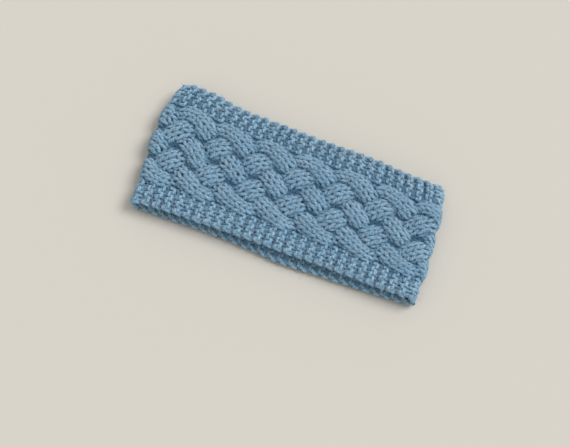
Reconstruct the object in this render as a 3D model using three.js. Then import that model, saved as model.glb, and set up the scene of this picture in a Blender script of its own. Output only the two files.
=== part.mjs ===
// A knitted ear warmer headband, lying flat in two layers.
// Millimetres, +X along the band, +Y to its far edge, +Z up, origin on the surface below its middle.
import * as THREE from 'three';

// The whole band
const flatLength = 240; // fold to fold, outside
const foldRadius = 5.8; // bend of the fabric's middle at each end
const foldStretch = 1.32; // the knitting spreads there
const foldLift = 2.3; // and the strands' backs lie this far above its middle
const foldMiddleLift = 1.2; // the relief closes in on this height
const squash = 0.6; // how far the crests below are pressed in by the weight

// The plaited panel
const panelWidth = 72;
const innerDepth = 3.2; // from the fabric's middle to its inside face
const repeats = 14; // crossings of each kind round the whole loop
const strandCount = 6;
const strandHalfWidth = 8.3;
const strandEdgeDrop = 4; // how far its round back falls to its edges
const strandRise = 1.9; // back of a strand above its own middle
const weaveRise = 2.1; // how far a strand's middle rises over and dips under
const tuck = 0.9; // how much lower it lies between its crossings
const turnRise = 1.7; // how proud it stands where it turns at a border
const valleyLift = -0.6; // fabric seen between the strands
const turnReach = 2.33; // where a strand turns back at a border, in strand pitches from the middle
const turnSharpness = 0.85; // 1 runs straight from turn to turn

// The garter borders
const borderWidth = 14.5;
const borderHalfThickness = 1.9;
const ridgeHeight = 1;
const selvedgeScallop = 0.6;
const ridgesPerRepeat = 4;
const borderSag = 1.2; // the upper layer's thin borders settle
const seamGap = 0.3; // clearance between the panel and each border

// How finely the faces are divided
const panelStationsPerRepeat = 11;
const borderStationsPerRidge = 3;
const panelColumns = 21;
const panelInnerColumns = 2;

// What follows from these
const strandPitch = (panelWidth / 2 - strandHalfWidth) / turnReach;
const crestLift = strandRise + weaveRise;
const middleHeight = foldRadius + crestLift - squash;
const foldedRelief = (foldLift - foldMiddleLift) / (crestLift - foldMiddleLift);
const halfBandWidth = panelWidth / 2 + seamGap + borderWidth;
const halfStepsRound = 2 * repeats;
const halfStepsPerStrand = 2 * strandCount;
const patternStart = -0.2; // half steps from the left fold to the nearest crossing

// The fold lines lean: where each end lies, in shares of half the length, by share of half the width
const foldLines = [
  { across: -1, left: -0.965, right: 1.018 },
  { across: -0.5, left: -0.982, right: 1.018 },
  { across: 0, left: -1.02, right: 0.998 },
  { across: 0.5, left: -1.03, right: 0.976 },
  { across: 0.8, left: -1.008, right: 0.953 },
  { across: 1, left: -0.97, right: 0.92 },
];

// The edges wander: each layer's middle and width in shares of half the width, by share of half the length
const edgeLines = [
  { along: -1, topMiddle: -0.02, topWidth: 1.12, lowMiddle: -0.09, lowWidth: 1.03 },
  { along: -0.75, topMiddle: 0.0, topWidth: 1.085, lowMiddle: -0.105, lowWidth: 1.01 },
  { along: -0.5, topMiddle: -0.035, topWidth: 1.025, lowMiddle: -0.095, lowWidth: 1.0 },
  { along: -0.2, topMiddle: -0.03, topWidth: 1.005, lowMiddle: -0.1, lowWidth: 1.0 },
  { along: 0.1, topMiddle: -0.035, topWidth: 0.995, lowMiddle: -0.14, lowWidth: 1.0 },
  { along: 0.4, topMiddle: -0.025, topWidth: 0.99, lowMiddle: -0.115, lowWidth: 0.99 },
  { along: 0.75, topMiddle: -0.055, topWidth: 0.965, lowMiddle: -0.09, lowWidth: 0.98 },
  { along: 1, topMiddle: -0.04, topWidth: 0.975, lowMiddle: -0.06, lowWidth: 0.975 },
];

// A border's section from the panel outwards and back, in shares of its width and half thickness
const borderSection = [
  { across: 0, lift: 0.5 },
  { across: 0.6, lift: 1.0 },
  { across: 1, lift: 0.55 },
  { across: 1, lift: -0.65 },
  { across: 0, lift: -0.95 },
];

// Reads a table's column at a value of its first one, along a smooth curve through the rows
function readTable(table, key, column, value) {
  const last = table.length - 1;
  const at = Math.min(Math.max(value, table[0][key]), table[last][key]);
  let row = 0;
  while (row < last - 1 && at > table[row + 1][key]) row += 1;
  const slope = (index) => {
    const before = table[Math.max(index - 1, 0)];
    const after = table[Math.min(index + 1, last)];
    return (after[column] - before[column]) / (after[key] - before[key]);
  };
  const [from, to] = [table[row], table[row + 1]];
  const span = to[key] - from[key];
  const u = (at - from[key]) / span;
  const rise = to[column] - from[column];
  const start = slope(row) * span;
  const end = slope(row + 1) * span;
  const bow = 3 * rise - 2 * start - end;
  const twist = start + end - 2 * rise;
  return from[column] + u * (start + u * (bow + u * twist));
}

// Follows the fabric's middle round the loop at one place across it: share 0 is the left fold,
// a quarter the top layer's middle, a half the right fold
function followLoop(share, across) {
  const acrossShare = across / halfBandWidth;
  const endInset = foldRadius + foldLift;
  const left = readTable(foldLines, 'across', 'left', acrossShare) * flatLength / 2 + endInset;
  const right = readTable(foldLines, 'across', 'right', acrossShare) * flatLength / 2 - endInset;
  const straight = right - left;
  const bend = foldStretch / foldRadius;
  const quarter = Math.PI / 2 / bend;
  const travelled = share * (2 * straight + 4 * quarter);
  const onTop = travelled - quarter;
  const onRight = onTop - straight;
  const below = onRight - 2 * quarter;
  const onLeft = below - straight;
  if (onTop < 0) return { centre: left, run: 0, angle: travelled * bend - Math.PI / 2 };
  if (onRight < 0) return { centre: left, run: onTop, angle: 0 };
  if (below < 0) return { centre: right, run: 0, angle: onRight * bend };
  if (onLeft < 0) return { centre: right, run: -below, angle: Math.PI };
  return { centre: left, run: 0, angle: Math.PI + onLeft * bend };
}

// Puts a point of the fabric in space: its share of the way round, how far across, how far outwards
function place(share, across, lift) {
  const { centre, run, angle } = followLoop(share, across);
  const calmLift = foldMiddleLift + (lift - foldMiddleLift) * foldedRelief;
  const calmed = THREE.MathUtils.lerp(lift, calmLift, Math.abs(Math.sin(angle)));
  const onOuterFace = lift > -innerDepth / 2;
  const reach = foldRadius + (onOuterFace ? calmed : lift);
  const x = centre + run + Math.sin(angle) * reach;
  const along = x / (flatLength / 2);
  const topShare = (1 + Math.cos(angle)) / 2;
  const blend = (top, low) => {
    const topValue = readTable(edgeLines, 'along', top, along);
    return topValue * topShare + readTable(edgeLines, 'along', low, along) * (1 - topShare);
  };
  const y = halfBandWidth * blend('topMiddle', 'lowMiddle') + across * blend('topWidth', 'lowWidth');
  const outside = Math.max(Math.abs(across) - panelWidth / 2, 0) / borderWidth;
  const sag = borderSag * THREE.MathUtils.smoothstep(outside, 0, 1) * topShare;
  const z = middleHeight + Math.cos(angle) * reach - sag;
  return [x, y, Math.max(z, 0)];
}

// Where a strand's middle runs across the panel, in mm from its middle line, at a number of half steps
function strandAcross(step) {
  const turn = Math.asin(turnSharpness * Math.sin(2 * Math.PI * (step - 2) / halfStepsPerStrand));
  return -strandPitch * turnReach * turn / Math.asin(turnSharpness);
}

// How high a strand's middle lies: over and under its neighbours in turn, and proud where it turns back
function strandLift(step) {
  const lastCrossing = strandCount - 2;
  const secondWay = step > lastCrossing + 2 ? -1 : 1;
  const from = secondWay === 1 ? step : step - strandCount;
  const turning = Math.min(Math.max(from - lastCrossing, 0), 2) * Math.PI / 2;
  const wave = secondWay * (from <= lastCrossing ? Math.cos(Math.PI * from) : Math.cos(turning));
  const bulge = (turnRise + tuck) * Math.sin(turning) ** 2;
  return weaveRise * wave - tuck * (1 - wave ** 2) + bulge;
}

// The plait's outer face: the highest strand at this place
function plaitLift(share, across) {
  let highest = valleyLift;
  const slopeStep = 0.05;
  const halfStepLength = flatLength / repeats;
  for (let strand = 0; strand < strandCount; strand += 1) {
    const raw = share * halfStepsRound + patternStart + 2 * strand;
    const step = THREE.MathUtils.euclideanModulo(raw, halfStepsPerStrand);
    const drift = (strandAcross(step + slopeStep) - strandAcross(step - slopeStep)) / (2 * slopeStep);
    const lean = Math.cos(Math.atan(drift / halfStepLength));
    const fromMiddle = Math.abs(across - strandAcross(step)) * lean;
    if (fromMiddle > strandHalfWidth) continue;
    const drop = strandEdgeDrop * (fromMiddle / strandHalfWidth) ** 2;
    highest = Math.max(highest, strandLift(step) + strandRise - drop);
  }
  return highest;
}

// The panel's section at one station: the plaited face from near to far, then the plain inside face
function panelSection(share) {
  const points = [];
  for (let column = 0; column <= panelColumns; column += 1) {
    const across = panelWidth * (column / panelColumns - 0.5);
    points.push({ across, lift: plaitLift(share, across) });
  }
  for (let column = panelInnerColumns; column >= 0; column -= 1) {
    points.push({ across: panelWidth * (column / panelInnerColumns - 0.5), lift: -innerDepth });
  }
  return points;
}

// A border's section at one station: its ridges stand out on one face where the other face has a furrow
function borderSectionAt(share, side) {
  const ridge = Math.cos(2 * Math.PI * ridgesPerRepeat * repeats * share);
  const start = panelWidth / 2 + seamGap;
  const points = borderSection.map((row) => {
    const scallop = row.across * selvedgeScallop * ridge;
    const faceLift = row.lift * borderHalfThickness + ridge * ridgeHeight * Math.abs(row.lift);
    return { across: side * (start + row.across * borderWidth + scallop), lift: faceLift };
  });
  return side > 0 ? points : points.reverse();
}

// Spaces stations evenly round the loop, as shares of it, and twice as closely in the two folds
function ringStations(evenCount) {
  const foldShare = foldRadius / foldStretch * Math.PI / 2 / (2 * flatLength);
  const stations = [];
  for (let station = 0; station < evenCount; station += 1) {
    const share = station / evenCount;
    const between = (station + 0.5) / evenCount;
    const fromFold = Math.abs(between - Math.round(2 * between) / 2);
    stations.push(share);
    if (fromFold < foldShare) stations.push(between);
  }
  return stations;
}

// Skins a closed ring of sections, and splits each face along the higher of its two diagonals
function ringGeometry(evenCount, sectionAt) {
  const stations = ringStations(evenCount);
  const sections = stations.map((share) => sectionAt(share));
  const count = sections[0].length;
  const positions = sections.flatMap((section, station) =>
    section.flatMap((point) => place(stations[station], point.across, point.lift)));
  const triangles = [];
  sections.forEach((section, station) => {
    const next = (station + 1) % stations.length;
    for (let point = 0; point < count; point += 1) {
      const beside = (point + 1) % count;
      const [a, b] = [station * count + point, station * count + beside];
      const [c, d] = [next * count + beside, next * count + point];
      const rising = section[point].lift + sections[next][beside].lift;
      const falling = section[beside].lift + sections[next][point].lift;
      if (rising > falling) triangles.push(a, c, b, a, d, c);
      else triangles.push(a, d, b, b, d, c);
    }
  });
  const geometry = new THREE.BufferGeometry();
  geometry.setAttribute('position', new THREE.Float32BufferAttribute(positions, 3));
  geometry.setIndex(triangles);
  geometry.computeVertexNormals();
  return geometry;
}

// Light blue wool yarn, soft and dull
function woolYarn(colour) {
  return new THREE.MeshStandardMaterial({ color: colour, roughness: 0.95, metalness: 0 });
}

const headband = new THREE.Group();

function addPiece(name, geometry, colour) {
  const mesh = new THREE.Mesh(geometry, woolYarn(colour));
  mesh.name = name;
  headband.add(mesh);
}

const borderStations = borderStationsPerRidge * ridgesPerRepeat * repeats;
addPiece('cable_panel', ringGeometry(panelStationsPerRepeat * repeats, panelSection), '#8fb4cc');
addPiece('border_upper', ringGeometry(borderStations, (share) => borderSectionAt(share, 1)), '#7fa6c2');
addPiece('border_lower', ringGeometry(borderStations, (share) => borderSectionAt(share, -1)), '#7fa6c2');

// The edges wander, so the band's own box is brought back over the origin
const middle = new THREE.Box3().setFromObject(headband).getCenter(new THREE.Vector3());
headband.position.set(-middle.x, -middle.y, 0);

export default headband;
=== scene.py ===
# Knitted ear warmer headband: a wide plaited cable between two garter stitch borders, lying flat.
# Each course of the knitting is a tube of yarn, and each strand of the plait has courses of its own.
import math
import bpy
import numpy as np
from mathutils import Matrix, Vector


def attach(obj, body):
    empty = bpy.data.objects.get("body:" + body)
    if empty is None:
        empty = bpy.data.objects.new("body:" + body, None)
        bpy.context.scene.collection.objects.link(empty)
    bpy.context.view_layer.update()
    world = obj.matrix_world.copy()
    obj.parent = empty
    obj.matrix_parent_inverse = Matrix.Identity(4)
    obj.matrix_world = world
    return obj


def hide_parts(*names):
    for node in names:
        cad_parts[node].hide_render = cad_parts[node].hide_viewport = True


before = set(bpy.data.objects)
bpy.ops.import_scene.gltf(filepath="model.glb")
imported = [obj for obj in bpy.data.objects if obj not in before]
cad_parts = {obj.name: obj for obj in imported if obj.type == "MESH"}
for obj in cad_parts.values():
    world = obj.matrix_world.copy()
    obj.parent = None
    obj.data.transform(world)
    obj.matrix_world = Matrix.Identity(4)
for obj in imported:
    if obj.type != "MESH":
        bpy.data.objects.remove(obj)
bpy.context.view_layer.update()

mm = 0.001
rng = np.random.default_rng(11)
startNormal = np.array([0.31, 0.17, 0.94])  # a direction that no yarn runs in
tiny = 1e-9                                 # keeps divisors off zero

# The band as a whole, in millimetres, as the solid model has it
band = {
    "flatLength": 240.0,    # fold to fold, outside
    "foldRadius": 5.8,      # bend of the fabric's middle at each end
    "foldStretch": 1.32,    # the courses spread there
    "crestLift": 4.0,       # top of a strand above the fabric's middle
    "foldLift": 2.3,        # the same at a fold
    "foldCalm": 0.85,       # share of the relief that the fold pulls flat
    "calmed": (-2.0, 0.3),  # from none of it this deep to all of it this far out
    "squash": 0.6,          # how far the crests below are pressed in
    "panelWidth": 72.0,
    "borderWidth": 14.5,
    "seamGap": 0.3,
    "borderSag": 1.2,       # the upper layer's thin borders settle
    "repeats": 14,          # of the plait, round the loop
    "rowsPerRepeat": 8,
    "onFloor": 0.02,        # no point lies lower than this
    "shift": (0.93, 1.04),  # brings the wandering outline's box over the origin
}
panelEdge = band["panelWidth"] / 2
halfBandWidth = panelEdge + band["seamGap"] + band["borderWidth"]
middleHeight = band["foldRadius"] + band["crestLift"] - band["squash"]
rowCount = band["repeats"] * band["rowsPerRepeat"]

# Where the two folds lie, in shares of half the length, by share of half the width
foldLines = {
    "across": [-1, -0.5, 0, 0.5, 0.8, 1],
    "left": [-0.965, -0.982, -1.02, -1.03, -1.008, -0.97],
    "right": [1.018, 1.018, 0.998, 0.976, 0.953, 0.92],
}

# Each layer's middle and width in shares of half the width, by share of half the length
edgeLines = {
    "along": [-1, -0.75, -0.5, -0.2, 0.1, 0.4, 0.75, 1],
    "topMiddle": [-0.02, 0.0, -0.035, -0.03, -0.035, -0.025, -0.055, -0.04],
    "topWidth": [1.12, 1.085, 1.025, 1.005, 0.995, 0.99, 0.965, 0.975],
    "lowMiddle": [-0.09, -0.105, -0.095, -0.1, -0.14, -0.115, -0.09, -0.06],
    "lowWidth": [1.03, 1.01, 1.0, 1.0, 1.0, 0.99, 0.98, 0.975],
}


def readTable(table, key, column, value):
    # Smooth curve through the rows of a table
    xs = np.array(table[key], float)
    ys = np.array(table[column], float)
    slopes = np.gradient(ys, xs, edge_order=1)
    slopes[1:-1] = (ys[2:] - ys[:-2]) / (xs[2:] - xs[:-2])
    at = np.clip(value, xs[0], xs[-1])
    row = np.clip(np.searchsorted(xs, at, side="right") - 1, 0, len(xs) - 2)
    span = xs[row + 1] - xs[row]
    u = (at - xs[row]) / span
    rise = ys[row + 1] - ys[row]
    start = slopes[row] * span
    end = slopes[row + 1] * span
    bend = u**2 * (3 * rise - 2 * start - end) + u**3 * (start + end - 2 * rise)
    return ys[row] + u * start + bend


def smoothStep(value, low, high):
    u = np.clip((value - low) / (high - low), 0, 1)
    return u * u * (3 - 2 * u)


def place(share, across, lift):
    # A point of the fabric, in mm, from its share of the way round, mm across and mm outwards
    radius = band["foldRadius"]
    inset = radius + band["foldLift"]
    half = band["flatLength"] / 2
    acrossShare = across / halfBandWidth
    left = readTable(foldLines, "across", "left", acrossShare) * half + inset
    right = readTable(foldLines, "across", "right", acrossShare) * half - inset
    straight = right - left
    bend = band["foldStretch"] / radius
    quarter = math.pi / 2 / bend
    travelled = (share % 1.0) * (2 * straight + 4 * quarter)
    onTop = travelled - quarter
    onRight = onTop - straight
    below = onRight - 2 * quarter
    onLeft = below - straight
    stretch = [onTop < 0, onRight < 0, below < 0, onLeft < 0]
    start = np.select(stretch, [left, left + onTop, right, right - below], left)
    zero = np.zeros_like(onTop)
    bends = [travelled * bend - math.pi / 2, zero, onRight * bend, zero + math.pi]
    angle = np.select(stretch, bends, math.pi + onLeft * bend)
    calm = band["foldCalm"] * np.abs(np.sin(angle)) * smoothStep(lift, *band["calmed"])
    reach = radius + lift * (1 - calm)
    x = start + np.sin(angle) * reach
    along = x / half
    topShare = (1 + np.cos(angle)) / 2

    def blend(top, low):
        low = readTable(edgeLines, "along", low, along)
        return low + topShare * (readTable(edgeLines, "along", top, along) - low)

    y = halfBandWidth * blend("topMiddle", "lowMiddle") + across * blend("topWidth", "lowWidth")
    outside = (np.abs(across) - panelEdge) / band["borderWidth"]
    sag = band["borderSag"] * smoothStep(outside, 0, 1) * topShare
    z = middleHeight + np.cos(angle) * reach - sag
    return np.stack([x + band["shift"][0], y + band["shift"][1], z], axis=-1)


def makeMesh(name, points, faces, faceSizes, uvs, lifts=None):
    # One mesh object, points in mm; lifts say how far out of the fabric each point lies, and are kept
    # for the painted shade
    mesh = bpy.data.meshes.new(name)
    points[:, 2] = np.maximum(points[:, 2], band["onFloor"])
    mesh.vertices.add(len(points))
    mesh.vertices.foreach_set("co", (points * mm).astype(np.float32).ravel())
    mesh.loops.add(len(faces))
    mesh.loops.foreach_set("vertex_index", faces.astype(np.int32))
    mesh.polygons.add(len(faceSizes))
    starts = np.concatenate([[0], np.cumsum(faceSizes)[:-1]])
    mesh.polygons.foreach_set("loop_start", starts.astype(np.int32))
    mesh.polygons.foreach_set("use_smooth", np.ones(len(faceSizes), bool))
    layer = mesh.uv_layers.new(name="yarn")
    layer.data.foreach_set("uv", uvs.astype(np.float32).ravel())
    # The heights by which the yarn's colour is darkened: painted shade
    proud = mesh.attributes.new("proud", "FLOAT", "POINT")
    lifts = np.zeros(len(points)) if lifts is None else lifts
    proud.data.foreach_set("value", lifts.astype(np.float32))
    mesh.update()
    mesh.validate()
    piece = bpy.data.objects.new(name, mesh)
    bpy.context.scene.collection.objects.link(piece)
    return piece


def tubeArrays(paths, radii, sides):
    # Round tubes along many paths at once: paths is (count, steps, 3), radii (count, steps)
    count, steps, _ = paths.shape
    along = np.gradient(paths, axis=1)
    along /= np.linalg.norm(along, axis=2, keepdims=True) + tiny
    normal = np.tile(startNormal, (count, 1))
    rings = np.empty((count, steps, sides, 3))
    turns = np.arange(sides) * 2 * math.pi / sides
    for step in range(steps):
        ahead = along[:, step]
        normal = normal - ahead * (normal * ahead).sum(1, keepdims=True)
        normal /= np.linalg.norm(normal, axis=1, keepdims=True) + tiny
        side = np.cross(ahead, normal)
        spread = np.cos(turns)[:, None] * normal[:, None] + np.sin(turns)[:, None] * side[:, None]
        rings[:, step] = paths[:, step, None] + radii[:, step, None, None] * spread
    ids = np.arange(count * steps * sides).reshape(count, steps, sides)
    nextIds = np.roll(ids, -1, axis=2)
    quads = np.stack([ids[:, :-1], nextIds[:, :-1], nextIds[:, 1:], ids[:, 1:]], axis=-1)
    quads = quads.reshape(-1, 4)
    caps = np.concatenate([ids[:, 0, ::-1], ids[:, -1]])
    length = np.linalg.norm(np.diff(paths, axis=1), axis=2)
    length = np.concatenate([np.zeros((count, 1)), np.cumsum(length, axis=1)], axis=1)
    u0 = np.broadcast_to(np.arange(sides) / sides, (count, steps - 1, sides))
    u1 = u0 + 1 / sides
    v0 = np.broadcast_to(length[:, :-1, None], u0.shape)
    v1 = np.broadcast_to(length[:, 1:, None], u0.shape)
    uvs = np.stack([u0, v0, u1, v0, u1, v1, u0, v1], axis=-1).reshape(-1, 2)
    return rings.reshape(-1, 3), quads, caps, uvs


def makeTubes(name, paths, radii, sides, lifts=None):
    points, quads, caps, uvs = tubeArrays(paths, radii, sides)
    if lifts is not None:
        lifts = np.repeat(lifts.ravel(), sides)
    faces = np.concatenate([quads.ravel(), caps.ravel()])
    sizes = np.concatenate([np.full(len(quads), 4), np.full(len(caps), sides)])
    uvs = np.concatenate([uvs, np.zeros((caps.size, 2))])
    return makeMesh(name, points, faces, sizes, uvs, lifts)


# Loose fibres standing off the yarn: long curls and a short straight nap. Real ones are far thinner
# and more; these are as thick as it takes to show.
fluff = {
    "curlsPerStrand": 1250,
    "curlsPerBorder": 2400,
    "curlsPerEdge": 1200,     # more of them along each selvedge, on both layers alike
    "napPerCurl": 3,
    "panelLift": 0.0,         # only from yarn that lies this far out, mm
    "borderLift": -0.4,
    "below": 0.35,            # as many on the lower layer, for each one on the upper
    "curlLength": (1.6, 4.2),
    "curlRadius": 0.09,
    "curlSteps": 3,
    "curlSides": 3,
    "napLength": (0.6, 1.4),
    "napRadius": 0.12,
    "root": 0.85,             # where a fibre leaves the yarn, in its radii
    "outwards": 0.5,          # how much more of them leave on the outside
    "steepness": (0.3, 1.2),  # 0 lies along the yarn
    "curl": 1.2,              # how far a curl's end strays, for its length
    "bendBack": (-0.9, 0.5),  # less than 0 bends towards the yarn
    "shortest": 0.5,          # share of its length that a fibre keeps at least
    "tip": 0.25,              # share of the radius at a curl's end
    "aboveFloor": 0.2,
}
looseFibres = {zone: {"curls": [], "nap": []} for zone in ("panel", "upper", "lower")}


def fibreLines(paths, exposed, below, count, length, steps):
    # Lines that leave the yarn's surface, seldom straight up
    rows, stations = np.nonzero(exposed[:, 1:-1])
    heights = paths[rows, stations + 1, 2]
    odds = np.where(heights > middleHeight, 1.0, below)
    picked = rng.choice(len(rows), count, p=odds / odds.sum())
    rows, stations = rows[picked], stations[picked] + 1
    along = paths[rows, stations + 1] - paths[rows, stations - 1]
    along /= np.linalg.norm(along, axis=1, keepdims=True)
    outwards = fluff["outwards"] * np.sign(paths[rows, stations, 2:] - middleHeight)
    around = rng.normal(0, 1, (count, 3)) + outwards * np.array([0, 0, 1])
    around -= along * (around * along).sum(1, keepdims=True)
    around /= np.linalg.norm(around, axis=1, keepdims=True)
    start = paths[rows, stations] + around * plait["yarnRadius"] * fluff["root"]
    eitherWay = rng.choice([-1.0, 1.0], (count, 1))
    ahead = along * eitherWay + around * rng.uniform(*fluff["steepness"], (count, 1))
    curl = rng.uniform(-fluff["curl"], fluff["curl"], (count, 3))
    curl = curl + around * rng.uniform(*fluff["bendBack"], (count, 1))
    reach = rng.uniform(*length, (count, 1, 1)) * rng.uniform(fluff["shortest"], 1, (count, 1, 1))
    u = np.linspace(0, 1, steps)[None, :, None]
    bends = steps > 2  # the nap has two points and stays straight
    lines = start[:, None] + reach * (ahead[:, None] * u + curl[:, None] * u**2 * bends)
    lines[..., 2] = np.maximum(lines[..., 2], fluff["aboveFloor"])
    return lines


def raiseFibres(zone, paths, exposed, count, below=fluff["below"]):
    curls = fibreLines(paths, exposed, below, count, fluff["curlLength"], fluff["curlSteps"])
    nap = fibreLines(paths, exposed, below, count * fluff["napPerCurl"], fluff["napLength"], 2)
    looseFibres[zone]["curls"].append(curls)
    looseFibres[zone]["nap"].append(nap)


def makeFluff(name, zone):
    # Curls are tapered tubes; each fibre of the nap is a four-sided sliver
    curls = np.concatenate(looseFibres[zone]["curls"])
    taper = np.linspace(1.0, fluff["tip"], fluff["curlSteps"])
    radii = fluff["curlRadius"] * taper * np.ones(curls.shape[:2])
    points, quads, caps, _ = tubeArrays(curls, radii, fluff["curlSides"])
    nap = np.concatenate(looseFibres[zone]["nap"])
    ahead = nap[:, 1] - nap[:, 0]
    side = np.cross(ahead, startNormal)
    side *= fluff["napRadius"] / (np.linalg.norm(side, axis=1, keepdims=True) + tiny)
    other = np.cross(ahead, side) / (np.linalg.norm(ahead, axis=1, keepdims=True) + tiny)
    foot = nap[:, 0]
    cosine, sine = -0.5, 0.87  # of a third of a turn
    corners = [foot + side, foot + cosine * side + sine * other, foot + cosine * side - sine * other]
    slivers = np.stack(corners + [nap[:, 1]], axis=1).reshape(-1, 3)
    ids = len(points) + 4 * np.arange(len(nap))[:, None, None]
    sliverFaces = (ids + np.array([[0, 2, 1], [0, 1, 3], [1, 2, 3], [2, 0, 3]])).reshape(-1, 3)
    faces = np.concatenate([quads.ravel(), caps.ravel(), sliverFaces.ravel()])
    capSizes = np.full(len(caps), fluff["curlSides"])
    sizes = np.concatenate([np.full(len(quads), 4), capSizes, np.full(len(sliverFaces), 3)])
    points = np.concatenate([points, slivers])
    return makeMesh(name, points, faces, sizes, np.zeros((len(faces), 2)))


# The plait: six strands of three stitches, each over and under its neighbours in turn
plait = {
    "strands": 6,
    "stitches": 3,
    "halfWidth": 8.3,         # of a strand, as the eye sees it
    "baseWidth": 9.4,         # half of what it covers low down, below its neighbours
    "spread": 0.13,           # how much wider it lies between its crossings
    "turnSlim": 0.12,         # how much slimmer where it turns
    "turnLength": 2,          # half steps that a turn takes
    "turnReach": 2.33,        # where a strand turns back, in strand pitches from the middle
    "turnSharpness": 0.85,
    "patternStart": -0.2,     # half steps from the left fold to the nearest crossing
    "weaveRise": 2.3,         # rise and dip of a strand's middle
    "tuck": 0.4,              # how much lower it lies between its crossings
    "turnRise": 1.7,          # how proud it stands where it turns at a border
    "turnHaste": 0.7,         # 1 turns evenly, less dives sooner
    "backLift": -0.55,        # middle of the yarn above the strand's own middle
    "edgeDrop": 4.6,          # how far its two edges roll down
    "diveRoll": 0.5,          # and this share further where it goes under
    "edgeRoll": 2.2,          # 2 is round, more is flat with steep edges
    "deepest": -3.0,          # no yarn lies deeper
    "backCurve": 1.2,         # radians from the middle of its back to an edge
    "pastEdge": (0.35, 1.5),  # out and down, for yarn that runs on past an edge
    "floorEase": 0.8,         # how softly the deepest yarn levels out
    "pressEase": 0.6,         # and the lower layer's yarn on the floor
    "yarnRadius": 1.72,
    "stitchWidth": 5.2,
    "legLean": 0.24,          # how far a stitch's legs spread, in stitch widths
    "reach": 0.86,            # half height of a loop, in rows
    "loopDepth": 0.72,        # legs in front of, and heads behind, the middle of the yarn
    # A course's ends run on below the next strands, so far out and so deep, in mm
    "endsOut": (4.6, 3.2, 1.9, 0.8),
    "endsDown": (-1.2, -1.0, -0.6, -0.2),
    "stepsPerStitch": 12,
    "sides": 6,
}
# How uneven the plait is knitted, as standard deviations
plaitUneven = {
    "sideways": 0.2,     # a course along the strand's back, mm
    "reach": 0.04,       # a loop's half height, rows
    "course": 0.09,      # a course, up or down its strand, rows
    "stitch": 0.11,      # a single stitch, the same way
    "depth": 0.1,        # a loop's depth, mm
    "courseLift": 0.14,  # a course, in or out, mm
    "stitchLift": 0.2,   # a single stitch, in or out
    "thickness": 0.03,   # share of the yarn's radius
}
halfStep = band["flatLength"] / band["repeats"]  # half a repeat, mm
stepsPerStrand = 2 * plait["strands"]
straightSteps = plait["strands"] - plait["turnLength"]
strandPitch = (panelEdge - plait["halfWidth"]) / plait["turnReach"]
rowsPerHalfStep = band["rowsPerRepeat"] / 2


def strandAcross(step):
    since = step - straightSteps / 2
    swing = plait["turnSharpness"] * np.sin(2 * math.pi * since / stepsPerStrand)
    return -strandPitch * plait["turnReach"] * np.arcsin(swing) / math.asin(plait["turnSharpness"])


def turned(step):
    # How far a strand has come in its turn at a border, 0 to 1; it dives soon and rises late
    turning = step % plait["strands"] - straightSteps
    u = np.clip(turning, 0, plait["turnLength"]) / plait["turnLength"]
    back = step % stepsPerStrand >= plait["strands"]
    return np.where(back, 1 - (1 - u) ** plait["turnHaste"], u ** plait["turnHaste"])


def strandWave(step):
    # 1 where a strand crosses over, -1 where it goes under, in turn across the band
    since = np.minimum(step % plait["strands"], straightSteps)
    wave = np.cos(math.pi * (since + turned(step)))
    return np.where(step % stepsPerStrand >= plait["strands"], -wave, wave)


def strandLift(step):
    # Over and under in turn, and proud where the strand turns back
    wave = strandWave(step)
    bulge = (plait["turnRise"] + plait["tuck"]) * np.sin(math.pi * turned(step)) ** 2
    return plait["weaveRise"] * wave - plait["tuck"] * (1 - wave**2) + bulge


def softFloor(value, lowest, room):
    # Eases what would lie below the lowest value up to it, from so much room above it
    over = value - lowest
    return lowest + np.where(over > room, over, room * np.exp(np.minimum(over, room) / room - 1))


def pressed(points):
    # The lower layer's yarn lies flat on the floor
    heights = softFloor(points[..., 2:], plait["yarnRadius"], plait["pressEase"])
    return np.concatenate([points[..., :2], heights], axis=-1)


def onStrand(strand, step, arc, lift):
    # A point on a strand: half steps along it, mm round its back, mm off the middle of its yarn
    nudge = 0.02
    drift = (strandAcross(step + nudge) - strandAcross(step - nudge)) / (2 * nudge)
    slant = np.arctan2(drift, halfStep)
    s = 2 * arc / (plait["stitches"] * plait["stitchWidth"])
    onBack = np.clip(s, -1, 1)
    pastOut, pastDown = plait["pastEdge"]
    curve = plait["backCurve"]
    rolled = np.sin(curve * onBack) / math.sin(curve) + pastOut * (s - onBack)
    wave = strandWave(step)
    turning = np.sin(math.pi * turned(step)) ** 2
    wider = plait["spread"] * (1 - wave**2) * (1 - turning) - plait["turnSlim"] * turning
    middle = (plait["baseWidth"] - plait["yarnRadius"]) * rolled * (1 + wider)
    diving = 1 + plait["diveRoll"] * (1 - wave) / 2
    rounding = np.abs(onBack) ** plait["edgeRoll"] + pastDown * np.abs(s - onBack)
    drop = plait["edgeDrop"] * diving * rounding
    tilt = np.arctan(plait["edgeRoll"] * plait["edgeDrop"] / plait["halfWidth"] * onBack)
    sideways = middle + lift * np.sin(tilt)
    height = strandLift(step) + plait["backLift"] - drop + lift * np.cos(tilt)
    travelled = step * halfStep - sideways * np.sin(slant)
    across = strandAcross(step) + sideways * np.cos(slant)
    share = (travelled / halfStep - plait["patternStart"] - 2 * strand) / (2 * band["repeats"])
    height = softFloor(height, plait["deepest"], plait["floorEase"])
    return pressed(place(share, across, height)), height


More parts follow.
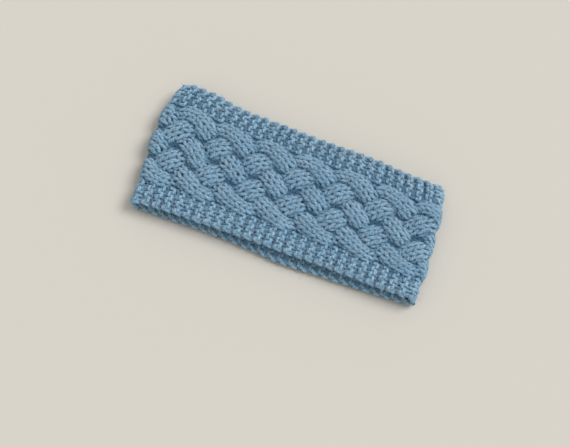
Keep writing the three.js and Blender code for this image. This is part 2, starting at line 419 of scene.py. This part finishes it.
def strandPaths(strand):
    # Each course runs across the strand, loop by loop, and on below the neighbours
    rows = np.arange(rowCount)[:, None]
    steps = plait["stitches"] * plait["stepsPerStitch"]
    t = np.linspace(0, 2 * math.pi * plait["stitches"], steps + 1)[None, :]
    wide = plait["stitchWidth"]
    uneven = rng.normal(0, 1, (5, rowCount, 1))
    perStitch = rng.normal(0, 1, (3, rowCount, plait["stitches"] + 1))[:2]  # the third is spare
    stitch = np.broadcast_to((t / (2 * math.pi)).astype(int), (rowCount, steps + 1))
    stitchLift, stitchRise = [np.take_along_axis(part, stitch, axis=1) for part in perStitch]
    arc = wide * (t / (2 * math.pi) - plait["stitches"] / 2 + plait["legLean"] * np.sin(2 * t))
    arc = arc + plaitUneven["sideways"] * uneven[0]
    rise = -(plait["reach"] + plaitUneven["reach"] * uneven[1]) * np.cos(t)
    rise = rise + plaitUneven["course"] * uneven[2] + plaitUneven["stitch"] * stitchRise
    lift = -(plait["loopDepth"] + plaitUneven["depth"] * uneven[3]) * np.cos(2 * t)
    lift = lift + plaitUneven["courseLift"] * uneven[4] + plaitUneven["stitchLift"] * stitchLift
    endsOut = np.array(plait["endsOut"])
    endsDown = np.array(plait["endsDown"])
    level = np.zeros(len(endsOut))
    arc = np.concatenate([arc[:, :1] - endsOut, arc, arc[:, -1:] + endsOut[::-1]], axis=1)
    rise = np.concatenate([rise[:, :1] + level, rise, rise[:, -1:] + level], axis=1)
    lift = np.concatenate([lift[:, :1] + endsDown, lift, lift[:, -1:] + endsDown[::-1]], axis=1)
    step = plait["patternStart"] + 2 * strand + (rows + 0.5 + rise) / rowsPerHalfStep
    return onStrand(strand, step, arc, lift)


def makeStrand(strand):
    paths, lifts = strandPaths(strand)
    uneven = 1 + plaitUneven["thickness"] * rng.normal(0, 1, (rowCount, 1))
    radii = plait["yarnRadius"] * uneven * np.ones(paths.shape[:2])
    raiseFibres("panel", paths, lifts > fluff["panelLift"], fluff["curlsPerStrand"])
    return makeTubes(f"strand_{strand + 1}", paths, radii, plait["sides"], lifts)


# The borders: three stitches of garter stitch, each course turning back at the edge
garter = {
    "stitches": 3,
    "stitchWidth": 5.8,
    "edgeInset": 2.2,     # the courses turn so far inside the solid's edge, mm
    "edgeBulge": 0.1,     # the turns stand out past it
    "edgePlump": 0.12,    # the yarn of the turns is under no pull
    "turnSpread": 0.18,   # and spread wider than a row
    "deepest": -1.9,
    "shadeLift": -0.2,    # painted shade: how much further out the yarn is shaded than it lies, mm
    "edgeLightLift": 1.4,      # the same at the edge, painted lighter as light reaches it from both sides
    "edgeFades": (8, 2),  # mm inside the edge where that begins and is whole
    "plumpFrom": 3,       # mm inside the edge
    "fluffFrom": 2,       # the selvedge's own fibres start so far inside the edge
    "yarnRadius": 1.55,
    "legLean": 0.2,
    "reach": 0.82,
    "loopDepth": 1.9,
    "dip": 2.4,           # the fabric goes down beside the plait
    "dipFrom": -1.0,      # mm outside the panel's edge
    "dipEnds": 5.0,
    "floorEase": 1.2,     # how softly the deepest yarn levels out
    "stepsPerStitch": 14,
    "turnSteps": 8,
    "sides": 6,
}
garterEdge = halfBandWidth - garter["edgeInset"]
# How uneven the borders are knitted, in the same measures as the plait
garterUneven = {
    "sideways": 0.1,
    "reach": 0.03,
    "course": 0.06,
    "depth": 0.07,
    "thickness": 0.03,
}


def borderPaths(side):
    # Each yarn runs out along one row, turns at the edge and comes back along the next
    first = 0 if side > 0 else 1
    pairs = rowCount // 2
    row = 2 * np.arange(pairs)[:, None] + first
    steps = garter["stitches"] * garter["stepsPerStitch"]
    t = np.linspace(0, 2 * math.pi * garter["stitches"], steps + 1)[None, :]

    def course(offset):
        knit = 1.0 if (first + offset) % 2 == 0 else -1.0
        uneven = rng.normal(0, 1, (4, pairs, 1))
        out = garter["stitchWidth"] * (t / (2 * math.pi) + garter["legLean"] * np.sin(2 * t))
        out = out + garterUneven["sideways"] * uneven[0]
        rise = row + offset - (garter["reach"] + garterUneven["reach"] * uneven[1]) * np.cos(t)
        rise = rise + garterUneven["course"] * uneven[2]
        lift = -knit * (garter["loopDepth"] + garterUneven["depth"] * uneven[3]) * np.cos(t)
        return out, rise, lift

    goingOut = course(0)
    comingBack = [part[:, ::-1] for part in course(1)]
    u = np.linspace(0, 1, garter["turnSteps"] + 2)[None, 1:-1]
    ease = (1 - np.cos(math.pi * u)) / 2
    turn = [a[:, -1:] + (b[:, :1] - a[:, -1:]) * ease for a, b in zip(goingOut, comingBack)]
    turn[0] = turn[0] + garter["edgeBulge"] * np.sin(math.pi * u)
    turn[1] = turn[1] - garter["turnSpread"] * np.sin(2 * math.pi * u)
    out, rise, lift = [np.concatenate(parts, axis=1) for parts in zip(goingOut, turn, comingBack)]
    across = garterEdge - garter["stitches"] * garter["stitchWidth"] + out
    pastPanel = across - panelEdge
    dip = garter["dip"] * (1 - smoothStep(pastPanel, garter["dipFrom"], garter["dipEnds"]))
    lift = softFloor(lift - dip, garter["deepest"], garter["floorEase"])
    return pressed(place((rise + 0.5) / rowCount, side * across, lift)), lift, across


def makeBorder(name, side):
    paths, lifts, across = borderPaths(side)
    zone = "upper" if side > 0 else "lower"
    raiseFibres(zone, paths, lifts > fluff["borderLift"], fluff["curlsPerBorder"])
    inside = garterEdge - across
    raiseFibres(zone, paths, inside < garter["fluffFrom"], fluff["curlsPerEdge"], below=1.0)
    uneven = 1 + garterUneven["thickness"] * rng.normal(0, 1, (len(paths), 1))
    plump = 1 + garter["edgePlump"] * smoothStep(-inside, -garter["plumpFrom"], 0)
    radii = garter["yarnRadius"] * uneven * plump
    fadeFrom, fadeEnds = garter["edgeFades"]
    atEdge = smoothStep(-inside, -fadeFrom, -fadeEnds)
    # Painted shade and light: the heights that darken the colour, raised towards the edge to paint it
    # lighter
    shadeHeights = lifts + garter["shadeLift"] + (garter["edgeLightLift"] - garter["shadeLift"]) * atEdge
    return makeTubes(name, paths, radii, garter["sides"], shadeHeights)


# The knitting behind the strands and inside the borders, a sheet with a bump for every stitch
lining = {
    "bump": 0.7,
    "bumpWidth": 0.7,            # less is wider, with a narrower gap
    "rowWaver": 0.3,             # rows
    "aboveFloor": 0.2,
    "samplesPerRow": 3,
    "fromSeam": 0.4,             # mm that each sheet stays away from the panel's edge
    "fromEdge": 1.8,             # and from the border's
    "panelFaces": (-2.4, -4.0),  # outer and inner, mm out of the fabric
    "borderFaces": (-0.3, -1.4),
    "panelColumns": 32,
    "borderColumns": 10,
}
panelSheet = panelEdge - lining["fromSeam"]
borderSheet = (panelEdge + lining["fromSeam"], halfBandWidth - lining["fromEdge"])


def makeLining(name, near, far, faces, columns):
    # From near to far across the band
    outer, inner = faces
    rows = rowCount * lining["samplesPerRow"]
    line = np.linspace(near, far, columns)
    across = np.concatenate([line, line[::-1]])[None, :]
    row = np.arange(rows)[:, None] / lining["samplesPerRow"]
    wave = lining["rowWaver"] * np.cos(2 * math.pi * across / plait["stitchWidth"])
    gap = np.abs(np.cos(math.pi * (row + wave))) ** lining["bumpWidth"]
    bump = lining["bump"] * (1 - gap)
    outside = np.arange(2 * columns) < columns
    lift = np.where(outside[None, :], outer - bump, inner + bump)
    points = place((row + 0.5) / rowCount + 0 * across, across + 0 * row, lift)
    points[..., 2] = np.maximum(points[..., 2], lining["aboveFloor"])
    ids = np.arange(rows * 2 * columns).reshape(rows, 2 * columns)
    nextRow = np.roll(ids, -1, axis=0)
    quads = [ids, nextRow, np.roll(nextRow, -1, axis=1), np.roll(ids, -1, axis=1)]
    quads = np.stack(quads, axis=-1).reshape(-1, 4)
    if far < near:  # the faces still point out
        quads = quads[:, ::-1]
    uvs = np.zeros((quads.size, 2))
    sizes = np.full(len(quads), 4)
    return makeMesh(name, points.reshape(-1, 3), quads.ravel(), sizes, uvs, lift.ravel())


def linearColour(hexColour):
    # sRGB hex to the linear values that the shaders take
    parts = [int(hexColour[i:i + 2], 16) / 255 for i in (1, 3, 5)]
    linear = [p / 12.92 if p <= 0.04045 else ((p + 0.055) / 1.055) ** 2.4 for p in parts]
    return (*linear, 1.0)


def addNode(material, kind, settings=None, links=None):
    # settings: attributes or inputs by name; links: a node, or one of its outputs, by input
    node = material.node_tree.nodes.new("ShaderNode" + kind)
    for key, value in (settings or {}).items():
        if isinstance(key, str) and hasattr(node, key):
            setattr(node, key, value)
        else:
            node.inputs[key].default_value = value
    for key, source in (links or {}).items():
        output = source.outputs[0] if isinstance(source, bpy.types.Node) else source
        material.node_tree.links.new(output, node.inputs[key])
    return node


def startMaterial(name):
    material = bpy.data.materials.new(name)
    material.use_nodes = True
    material.node_tree.nodes.clear()
    return material


yarn = {
    "colour": "#88b8d9",
    "paleColour": "#a8cee6",
    # painted light: the borders' copy of the same yarn, paler as if better lit
    "garterPaintedLightColour": "#90c2e5",
    "garterPaintedLightPaleColour": "#b1dcf4",
    # painted shade: the colour that creases and low yarn are darkened towards
    "paintedShadeColour": "#0f5478",
    # painted shade: the darker colour of the sheet behind the plait
    "paintedShadeCoreColour": "#3a6a86",
    "creviceShadeReach": 3.0,        # mm; painted shade: the colour darkens in gaps this small
    "creviceShadePower": 1.7,   # more is darker there
    "creviceShadeSamples": 6,
    "heightShade": (-2.7, -0.5),  # painted shade by height, mm out of the fabric: from little light to all of it
    "heightShadeDarkest": 0.15,
    "plyPitch": 7.0,       # mm of yarn in one turn of its plies
    "plies": 3,
    "streakWidth": 0.782,  # mm; real fibres are finer, these are as coarse as it takes to show
    "streakLength": 2.857,
    "fuzzGrain": 2 / 3,    # mm, coarse for the same reason
    "patchSize": 11.11,    # mm, lighter and darker patches
    "plyRelief": 0.6,      # next to fuzz at 1
    "fibreRelief": 1.6,
    "reliefStrength": 0.9,
    "reliefDepth": 0.6,    # mm
    "fibreTone": 0.9,      # how much each changes the tone
    "patchTone": 0.5,
    "toneRange": (0.5, 0.9),
    "roughness": 0.95,
    "specular": 0.2,
    "sheen": 0.3,
    "sheenRoughness": 0.5,
}


def makeYarnMaterial(name, colour, paleColour):
    # Matt and soft, streaked along its plies, patchy in tone, with painted shade that darkens it to blue
    # in its creases and where it lies low
    material = startMaterial(name)
    uv = addNode(material, "UVMap", {"uv_map": "yarn"})
    parts = addNode(material, "SeparateXYZ", links={"Vector": uv})
    roundYarn, alongYarn = parts.outputs["X"], parts.outputs["Y"]
    twist = addNode(material, "Math", {"operation": "MULTIPLY_ADD", 1: 1 / yarn["plyPitch"]},
                    {0: alongYarn, 2: roundYarn})
    angle = addNode(material, "Math", {"operation": "MULTIPLY", 1: 2 * math.pi}, {0: twist})
    plyAngle = addNode(material, "Math", {"operation": "MULTIPLY", 1: yarn["plies"]}, {0: angle})
    ply = addNode(material, "Math", {"operation": "COSINE"}, {0: plyAngle})
    # Fibres run along the plies: the noise is long that way and fine across
    streaksRound = plait["yarnRadius"] / yarn["streakWidth"]
    cosine = addNode(material, "Math", {"operation": "COSINE"}, {0: angle})
    sine = addNode(material, "Math", {"operation": "SINE"}, {0: angle})
    x = addNode(material, "Math", {"operation": "MULTIPLY", 1: streaksRound}, {0: cosine})
    y = addNode(material, "Math", {"operation": "MULTIPLY", 1: streaksRound}, {0: sine})
    z = addNode(material, "Math", {"operation": "MULTIPLY", 1: 1 / yarn["streakLength"]},
                {0: alongYarn})
    line = addNode(material, "CombineXYZ", links={"X": x, "Y": y, "Z": z})
    fibre = addNode(material, "TexNoise", {"Scale": 1.0, "Detail": 4.0, "Roughness": 0.7},
                    {"Vector": line})
    surface = addNode(material, "NewGeometry")
    fuzz = addNode(material, "TexNoise", {"Scale": 1 / (yarn["fuzzGrain"] * mm), "Detail": 2.0},
                   {"Vector": surface})
    patch = addNode(material, "TexNoise", {"Scale": 1 / (yarn["patchSize"] * mm), "Detail": 1.0},
                    {"Vector": surface})
    relief = addNode(material, "Math", {"operation": "MULTIPLY_ADD", 1: yarn["fibreRelief"]},
                     {0: fibre, 2: fuzz})
    relief = addNode(material, "Math", {"operation": "MULTIPLY_ADD", 1: yarn["plyRelief"]},
                     {0: ply, 2: relief})
    bump = addNode(material, "Bump",
                   {"Strength": yarn["reliefStrength"], "Distance": yarn["reliefDepth"] * mm},
                   {"Height": relief})
    patchTone = addNode(material, "Math", {"operation": "MULTIPLY", 1: yarn["patchTone"]}, {0: patch})
    shade = addNode(material, "Math", {"operation": "MULTIPLY_ADD", 1: yarn["fibreTone"]},
                    {0: fibre, 2: patchTone})
    low, high = yarn["toneRange"]
    tone = addNode(material, "MapRange", {"From Min": low, "From Max": high}, {"Value": shade})
    # A mix takes its colours at sockets 6 and 7 and gives the blend at 2
    lit = addNode(material, "Mix", {"data_type": "RGBA", 6: linearColour(colour),
                                    7: linearColour(paleColour)}, {0: tone})
    # Painted shade: ambient occlusion darkens the colour in creases and gaps
    creviceShadeMeasure = addNode(material, "AmbientOcclusion",
                   {"Distance": yarn["creviceShadeReach"] * mm, "samples": yarn["creviceShadeSamples"]})
    paintedCreviceLight = addNode(material, "Math", {"operation": "POWER", 1: yarn["creviceShadePower"]},
                       {0: creviceShadeMeasure.outputs["AO"]})
    # Painted shade: yarn that lies low is darkened
    proud = addNode(material, "Attribute", {"attribute_name": "proud"})
    low, high = yarn["heightShade"]
    paintedHeightLight = addNode(material, "MapRange", {"From Min": low, "From Max": high,
                                            "To Min": yarn["heightShadeDarkest"], "To Max": 1.0},
                     {"Value": proud.outputs["Fac"]})
    paintedLight = addNode(material, "Math", {"operation": "MULTIPLY"}, {0: paintedCreviceLight, 1: paintedHeightLight})
    mixed = addNode(material, "Mix", {"data_type": "RGBA", 6: linearColour(yarn["paintedShadeColour"])},
                    {0: paintedLight, 7: lit.outputs[2]})
    shader = addNode(material, "BsdfPrincipled",
                     {"Roughness": yarn["roughness"], "Specular IOR Level": yarn["specular"],
                      "Sheen Weight": yarn["sheen"], "Sheen Roughness": yarn["sheenRoughness"]},
                     {"Base Color": mixed.outputs[2], "Normal": bump})
    addNode(material, "OutputMaterial", links={"Surface": shader})
    return material


fluffWool = {
    "colour": "#93c0de",
    "paleColour": "#bddaee",
    "clump": 3.0,  # mm from one clump of fibres to the next
    "toneRange": (0.3, 0.7),
    "roughness": 0.9,
    "sheen": 0.6,
}


def makeFluffMaterial(name):
    # Loose fibres are pale and catch the light from all round, some clumps more than others
    material = startMaterial(name)
    surface = addNode(material, "NewGeometry")
    clump = addNode(material, "TexNoise", {"Scale": 1 / (fluffWool["clump"] * mm), "Detail": 2.0},
                    {"Vector": surface})
    low, high = fluffWool["toneRange"]
    tone = addNode(material, "MapRange", {"From Min": low, "From Max": high}, {"Value": clump})
    mixed = addNode(material, "Mix", {"data_type": "RGBA", 6: linearColour(fluffWool["colour"]),
                                      7: linearColour(fluffWool["paleColour"])}, {0: tone})
    shader = addNode(material, "BsdfPrincipled",
                     {"Roughness": fluffWool["roughness"], "Sheen Weight": fluffWool["sheen"]},
                     {"Base Color": mixed.outputs[2]})
    addNode(material, "OutputMaterial", links={"Surface": shader})
    return material


# The plait's yarn reads light blue and matt, and each stitch stands out by the painted shade in its
# creases
wool = makeYarnMaterial("bulky wool yarn, three plies, softly spun", yarn["colour"], yarn["paleColour"])
# The borders' yarn is the same yarn painted paler: painted light, as it lies looser
garterWoolPaintedLight = makeYarnMaterial("the same yarn in garter stitch, looser, with painted light",
                              yarn["garterPaintedLightColour"], yarn["garterPaintedLightPaleColour"])
# Behind the plait a darker copy of the yarn paints shade, so the gaps between stitches look dark, and
# never right through
paintedShadeWool = makeYarnMaterial("the same yarn in the depth of the fabric", yarn["paintedShadeCoreColour"], yarn["colour"])
# Loose fibres blur the edges of the stitches and the outline
looseWool = makeFluffMaterial("loose wool fibres")
made = {"fluff": looseWool, "panel_core": paintedShadeWool, "border": garterWoolPaintedLight, "strand": wool}
print("materials made")
panelPieces = [makeStrand(strand) for strand in range(plait["strands"])]
panelPieces.append(makeLining("panel_core", -panelSheet, panelSheet,
                              lining["panelFaces"], lining["panelColumns"]))
print("plait knitted")
borderPieces = [makeBorder("border_upper_yarn", 1), makeBorder("border_lower_yarn", -1)]
for name, side in (("border_upper_core", 1), ("border_lower_core", -1)):
    near, far = [side * edge for edge in borderSheet]
    borderPieces.append(makeLining(name, near, far, lining["borderFaces"], lining["borderColumns"]))
print("borders knitted")
panelPieces.append(makeFluff("fluff_panel", "panel"))
borderPieces += [makeFluff("fluff_upper", "upper"), makeFluff("fluff_lower", "lower")]
print("loose fibres raised")
for piece in panelPieces + borderPieces:
    piece.data.materials.append(next(made[word] for word in made if word in piece.name))
    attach(piece, "root")
for piece in panelPieces:
    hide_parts("cable_panel")
for piece in borderPieces:
    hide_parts("border_upper" if "upper" in piece.name else "border_lower")

# Plain pale floor and soft light
floor = {"size": 6.0, "colour": "#d5d1c8", "roughness": 0.8}
bpy.ops.mesh.primitive_plane_add(size=floor["size"])
ground = bpy.context.object
ground.name = "floor"
board = bpy.data.materials.new("matt painted board, pale")  # lets the soft shadow show
board.use_nodes = True
boardInputs = board.node_tree.nodes["Principled BSDF"].inputs
boardInputs["Base Color"].default_value = linearColour(floor["colour"])
boardInputs["Roughness"].default_value = floor["roughness"]
ground.data.materials.append(board)

studio = {
    "sky": 0.56,
    "skyColour": (1.0, 0.985, 0.96, 1.0),  # a little warm
    "keyFrom": (0.64, 0.42, 1.0),          # from the upper right of the picture
    "keyStrength": 1.85,
    "keySpread": 0.55,                     # radians, a wide soft source
}
world = bpy.data.worlds.new("studio")
bpy.context.scene.world = world
world.use_nodes = True
sky = world.node_tree.nodes["Background"].inputs
sky["Color"].default_value = studio["skyColour"]
sky["Strength"].default_value = studio["sky"]
lamp = bpy.data.lights.new("key", "SUN")
lamp.angle = studio["keySpread"]
lamp.energy = studio["keyStrength"]
key = bpy.data.objects.new("key", lamp)
key.rotation_euler = (-Vector(studio["keyFrom"])).to_track_quat("-Z", "Y").to_euler()
bpy.context.scene.collection.objects.link(key)
bpy.context.scene.view_settings.view_transform = "Standard"

# The camera stands where the photographer did
shot = {
    "azimuth": 22.0,
    "elevation": 68.0,
    "distance": 1.178,
    "lens": 94.7,
    "target": (0.0042, -0.0225, 0.0),
}
turn, tilt = math.radians(shot["azimuth"]), math.radians(shot["elevation"])
back = Vector((math.sin(turn) * math.cos(tilt), -math.cos(turn) * math.cos(tilt), math.sin(tilt)))
camera = bpy.data.objects.new("camera", bpy.data.cameras.new("camera"))
camera.data.lens = shot["lens"]
camera.location = Vector(shot["target"]) + back * shot["distance"]
camera.rotation_euler = (-back).to_track_quat("-Z", "Y").to_euler()
bpy.context.scene.collection.objects.link(camera)
bpy.context.scene.camera = camera

print("headband finished")
